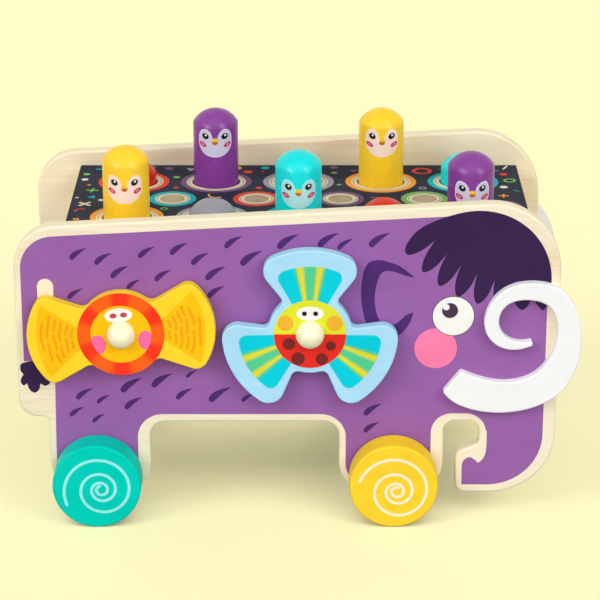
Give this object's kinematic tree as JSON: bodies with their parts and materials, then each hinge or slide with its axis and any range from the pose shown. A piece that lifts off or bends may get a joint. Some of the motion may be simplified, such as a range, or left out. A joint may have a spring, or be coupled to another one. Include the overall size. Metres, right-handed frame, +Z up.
{
  "type": "wooden pop-up peg toy on wheels",
  "caption": "Elephant-shaped wooden toy on wheels: struck pegs pop up in pairs on hidden see-saws, with two spinners and curled tusks on its sides.",
  "frame": {"origin": "on the floor, under the middle of the toy's overall length and width", "axes": "+X along the toy towards the trunk, +Y from the side with the spinners to the other, +Z up"},
  "size_m": [0.3246, 0.189, 0.2168],
  "materials": {
    "birch_ply": "clear satin lacquer",
    "slate_print": "printed satin",
    "box_wood": "clear satin lacquer",
    "plain_beech": "bare",
    "steel": "plain",
    "teal_paint": "satin paint",
    "yellow_paint": "satin paint",
    "bow_yellow": "printed satin",
    "fan_blue": "printed satin",
    "cream_paint": "satin paint",
    "washer_nylon": "plain",
    "tusk_white": "satin paint",
    "peg_yellow": "satin paint",
    "peg_grey": "satin paint",
    "peg_teal": "satin paint",
    "peg_red": "satin paint",
    "peg_purple": "satin paint"
  },
  "bodies": {
    "frame": {"front_panel": "birch_ply", "rear_panel": "birch_ply", "game_board": "slate_print", "tail_end_wall": "box_wood", "head_end_wall": "box_wood", "base_board": "box_wood", "base_screws": "steel", "panel_dowels": "plain_beech", "rocker_shaft": "steel", "rocker_sleeves": "plain_beech", "bow_pin": "cream_paint", "bow_washer": "washer_nylon", "fan_pin": "cream_paint", "fan_washer": "washer_nylon", "front_tusk": "tusk_white", "rear_tusk": "tusk_white", "shaft_post_1": "plain_beech", "shaft_post_2": "plain_beech", "shaft_post_3": "plain_beech", "shaft_post_4": "plain_beech"},
    "tail_wheels": {"tail_axle": "plain_beech", "tail_front_wheel": "teal_paint", "tail_rear_wheel": "teal_paint"},
    "head_wheels": {"head_axle": "plain_beech", "head_front_wheel": "yellow_paint", "head_rear_wheel": "yellow_paint"},
    "bow": {"bow_spinner": "bow_yellow"},
    "fan": {"fan_spinner": "fan_blue"},
    "rocker_1_body": {"rocker_1": "plain_beech"},
    "front_peg_1_body": {"front_peg_1": "peg_yellow"},
    "rear_peg_1_body": {"rear_peg_1": "peg_red"},
    "rocker_2_body": {"rocker_2": "plain_beech"},
    "front_peg_2_body": {"front_peg_2": "peg_grey"},
    "rear_peg_2_body": {"rear_peg_2": "peg_purple"},
    "rocker_3_body": {"rocker_3": "plain_beech"},
    "front_peg_3_body": {"front_peg_3": "peg_teal"},
    "rear_peg_3_body": {"rear_peg_3": "peg_grey"},
    "rocker_4_body": {"rocker_4": "plain_beech"},
    "front_peg_4_body": {"front_peg_4": "peg_red"},
    "rear_peg_4_body": {"rear_peg_4": "peg_yellow"},
    "rocker_5_body": {"rocker_5": "plain_beech"},
    "front_peg_5_body": {"front_peg_5": "peg_purple"},
    "rear_peg_5_body": {"rear_peg_5": "peg_teal"}
  },
  "joints": [
    {"name": "tail_wheels_roll", "type": "hinge", "parent": "frame", "child": "tail_wheels", "pos_m": [-0.1171, 0, 0.0257], "axis": [0, 1, 0], "continuous": true},
    {"name": "head_wheels_roll", "type": "hinge", "parent": "frame", "child": "head_wheels", "pos_m": [0.05535, 0, 0.0257], "axis": [0, 1, 0], "continuous": true},
    {"name": "bow_spin", "type": "hinge", "parent": "frame", "child": "bow", "pos_m": [-0.1013, 0, 0.1172], "axis": [0, 1, 0], "continuous": true},
    {"name": "fan_spin", "type": "hinge", "parent": "frame", "child": "fan", "pos_m": [0.0066, 0, 0.1172], "axis": [0, 1, 0], "continuous": true},
    {"name": "rocker_1_tilt", "type": "hinge", "parent": "frame", "child": "rocker_1_body", "pos_m": [-0.1, 0, 0.12481], "axis": [1, 0, 0], "range_deg": [-4.96, 50.2]},
    {"name": "front_peg_1_slide", "type": "slide", "parent": "frame", "child": "front_peg_1_body", "axis": [0, 0, 1], "range_m": [-0.03185, 0.00315]},
    {"name": "rear_peg_1_slide", "type": "slide", "parent": "frame", "child": "rear_peg_1_body", "axis": [0, 0, 1], "range_m": [-0.00315, 0.03185]},
    {"name": "rocker_2_tilt", "type": "hinge", "parent": "frame", "child": "rocker_2_body", "pos_m": [-0.05, 0, 0.12481], "axis": [1, 0, 0], "range_deg": [-55.16, 0]},
    {"name": "front_peg_2_slide", "type": "slide", "parent": "frame", "child": "front_peg_2_body", "axis": [0, 0, 1], "range_m": [0, 0.035]},
    {"name": "rear_peg_2_slide", "type": "slide", "parent": "frame", "child": "rear_peg_2_body", "axis": [0, 0, 1], "range_m": [-0.035, 0]},
    {"name": "rocker_3_tilt", "type": "hinge", "parent": "frame", "child": "rocker_3_body", "pos_m": [0, 0, 0.12481], "axis": [1, 0, 0], "range_deg": [-9.1, 46.06]},
    {"name": "front_peg_3_slide", "type": "slide", "parent": "frame", "child": "front_peg_3_body", "axis": [0, 0, 1], "range_m": [-0.02923, 0.00577]},
    {"name": "rear_peg_3_slide", "type": "slide", "parent": "frame", "child": "rear_peg_3_body", "axis": [0, 0, 1], "range_m": [-0.00577, 0.02923]},
    {"name": "rocker_4_tilt", "type": "hinge", "parent": "frame", "child": "rocker_4_body", "pos_m": [0.05, 0, 0.12481], "axis": [1, 0, 0], "range_deg": [-55.16, 0]},
    {"name": "front_peg_4_slide", "type": "slide", "parent": "frame", "child": "front_peg_4_body", "axis": [0, 0, 1], "range_m": [0, 0.035]},
    {"name": "rear_peg_4_slide", "type": "slide", "parent": "frame", "child": "rear_peg_4_body", "axis": [0, 0, 1], "range_m": [-0.035, 0]},
    {"name": "rocker_5_tilt", "type": "hinge", "parent": "frame", "child": "rocker_5_body", "pos_m": [0.1, 0, 0.12481], "axis": [1, 0, 0], "range_deg": [-10.48, 44.68]},
    {"name": "front_peg_5_slide", "type": "slide", "parent": "frame", "child": "front_peg_5_body", "axis": [0, 0, 1], "range_m": [-0.02835, 0.00665]},
    {"name": "rear_peg_5_slide", "type": "slide", "parent": "frame", "child": "rear_peg_5_body", "axis": [0, 0, 1], "range_m": [-0.00665, 0.02835]}
  ],
  "couplings": [
    {"joint": "front_peg_1_slide", "follows": "rocker_1_tilt", "m_per_rad": -0.036353},
    {"joint": "rear_peg_1_slide", "follows": "rocker_1_tilt", "m_per_rad": 0.036353},
    {"joint": "front_peg_2_slide", "follows": "rocker_2_tilt", "m_per_rad": -0.036353},
    {"joint": "rear_peg_2_slide", "follows": "rocker_2_tilt", "m_per_rad": 0.036353},
    {"joint": "front_peg_3_slide", "follows": "rocker_3_tilt", "m_per_rad": -0.036353},
    {"joint": "rear_peg_3_slide", "follows": "rocker_3_tilt", "m_per_rad": 0.036353},
    {"joint": "front_peg_4_slide", "follows": "rocker_4_tilt", "m_per_rad": -0.036353},
    {"joint": "rear_peg_4_slide", "follows": "rocker_4_tilt", "m_per_rad": 0.036353},
    {"joint": "front_peg_5_slide", "follows": "rocker_5_tilt", "m_per_rad": -0.036353},
    {"joint": "rear_peg_5_slide", "follows": "rocker_5_tilt", "m_per_rad": 0.036353}
  ]
}
